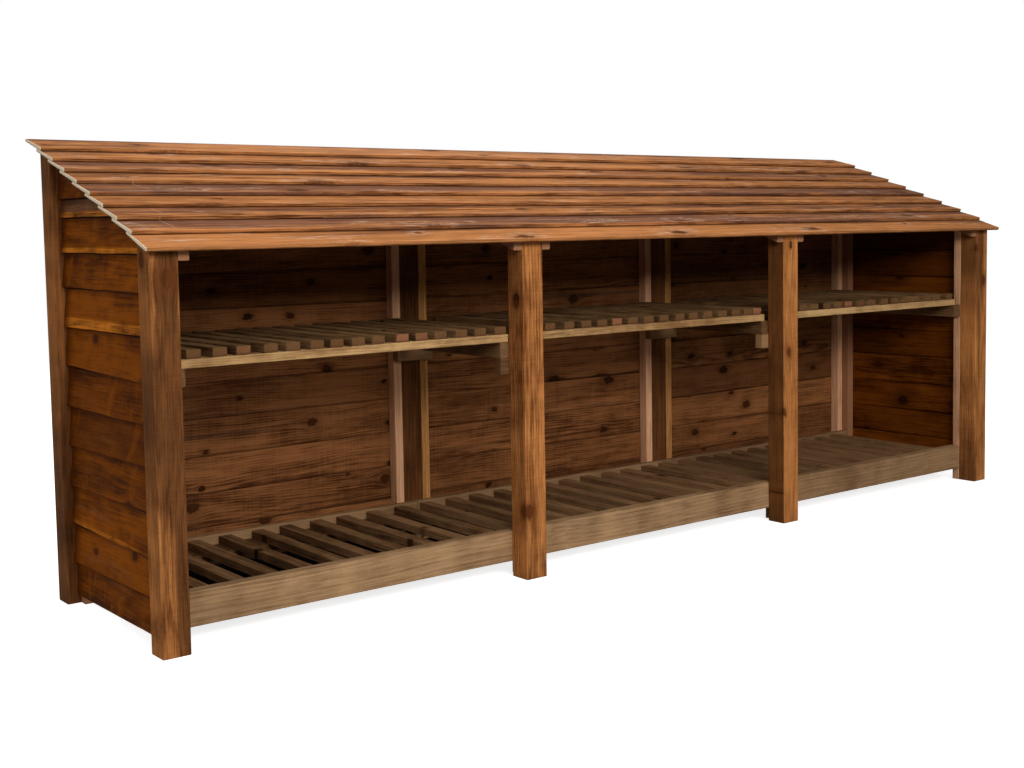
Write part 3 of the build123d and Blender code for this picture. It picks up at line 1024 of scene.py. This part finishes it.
# %% [markdown]
# ## Studio floor
# The store stands on a pale floor that is lost in a white background, so that only its shadow is
# left. To the camera the floor glows, and a little more so far away. To everything else it is a
# dull grey, so the glow puts no light on the wood. Under the slats the ground is nearly black,
# because very little light gets there, and that patch fades out towards the front and the ends.

# %% Studio floor
def background_look(s):
    """1 for what the camera sees, straight or by way of a reflection or a pane, and 0 for light."""
    ray = s.node("LightPath")
    seen = s.out(ray, "Is Camera Ray").math("MAXIMUM", s.out(ray, "Is Glossy Ray"))
    return seen.math("MAXIMUM", s.out(ray, "Is Transmission Ray"))


def floor_shader(s):
    x, depth_in, _ = s.object_place()
    along_store = x.math("ABSOLUTE")
    shade = s.step(along_store, 1.55, 1.50) * s.step(depth_in, -0.15, 0.19) * s.step(depth_in, 0.45, 0.40)
    open_floor = 1.0 - shade
    away = (along_store - 1.5).math("MAXIMUM", (depth_in - 0.17).math("ABSOLUTE") - 0.23)
    far = s.step(away, 0.2, 2.5)
    glow = s.node("Emission", Color=(1.0, 1.0, 1.0, 1.0), Strength=open_floor * (far * 0.12 + 0.80))
    pale = s.node("BsdfDiffuse", Color=s.mix(open_floor, (0.004, 0.003, 0.003), (0.80, 0.79, 0.77)))
    dull = s.node("BsdfDiffuse", Color=(0.26, 0.25, 0.24, 1.0))
    both = s.node("AddShader", in_order=(s.out(pale), s.out(glow)))
    return s.node("MixShader", in_order=(background_look(s), s.out(dull), s.out(both)))


bm = bmesh.new()
bmesh.ops.create_grid(bm, x_segments=1, y_segments=1, size=30.0)
mesh = bpy.data.meshes.new("studio_floor")
bm.to_mesh(mesh)
bm.free()
floor = bpy.data.objects.new("studio_floor", mesh)
bpy.context.scene.collection.objects.link(floor)
floor_material = bpy.data.materials.new("studio_floor")
s = Tree(floor_material)
s.node("OutputMaterial", Surface=s.out(floor_shader(s)))
mesh.materials.append(floor_material)
print("studio floor", [round(x) for x in floor.dimensions])

# %% [markdown]
# ## World
# The background is white to the camera, and to the wood it is only a dim warm light from all
# round, which keeps the shadows in the bays from going black.

# %% World
world = bpy.data.worlds.new("studio")
bpy.context.scene.world = world
s = Tree(world)
dim = s.node("Background", Color=(1.0, 0.98, 0.95, 1.0), Strength=0.11)
white = s.node("Background", Color=(1.0, 1.0, 1.0, 1.0), Strength=1.0)
pick = s.node("MixShader", in_order=(background_look(s), s.out(dim), s.out(white)))
s.node("OutputWorld", Surface=s.out(pick))
print("world", len(s.tree.nodes), "nodes")

# %% [markdown]
# ## Lamps
# A large soft light stands high in front and another hangs over the roof. A weaker one from the
# left lights the end wall, and one from behind keeps the back and the right end from going dark
# when the store is seen from there. Large lamps give the soft edges that a studio's shadows have.

# %% Lamps
def area(name, place, aim, size, power, colour):
    light = bpy.data.lights.new(name, "AREA")
    light.shape = "RECTANGLE"
    light.size, light.size_y = size
    light.energy = power
    light.color = colour
    lamp = bpy.data.objects.new(name, light)
    lamp.location = place
    lamp.rotation_euler = (Vector(aim) - Vector(place)).to_track_quat("-Z", "Y").to_euler()
    bpy.context.scene.collection.objects.link(lamp)
    print(name, power, "W")


area("key", (-1.2, -4.6, 2.5), (0.0, 0.0, 0.5), (3.6, 1.4), 178, (1.0, 0.985, 0.96))
area("top", (-0.8, 0.4, 4.4), (-0.2, 0.0, 1.1), (3.6, 1.6), 90, (1.0, 0.985, 0.96))
area("back_fill", (2.6, 5.0, 2.6), (0.0, 0.3, 0.5), (3.5, 2.0), 110, (1.0, 0.98, 0.95))
area("left_fill", (-5.0, -1.2, 2.3), (-1.4, 0.0, 0.5), (2.0, 1.6), 48, (1.0, 0.97, 0.93))

# %% [markdown]
# ## Camera
# The camera stands where the photographer stood. Its place, turn, lens and shift were solved
# together from the store's own right angles, level ground and equal bays.

# %% Camera
cam = bpy.data.cameras.new("camera")
cam.lens = 47.761
cam.sensor_width = 36.0
cam.shift_x = -0.01177
cam.shift_y = -0.05457
camera = bpy.data.objects.new("camera", cam)
camera.location = (-2.884102, -3.303819, 0.993283)
camera.rotation_euler = (1.4953752, 0.0162066, -0.6662266)
bpy.context.scene.collection.objects.link(camera)
bpy.context.scene.camera = camera
bpy.context.scene.view_settings.view_transform = "Standard"
print("camera at", [round(x, 2) for x in camera.location])

# %% [markdown]
# ## Last update
# The scene is brought up to date once all is in place. The timber may not be bigger than the
# CAD model that it stands for.

# %% Update the scene
bpy.context.view_layer.update()
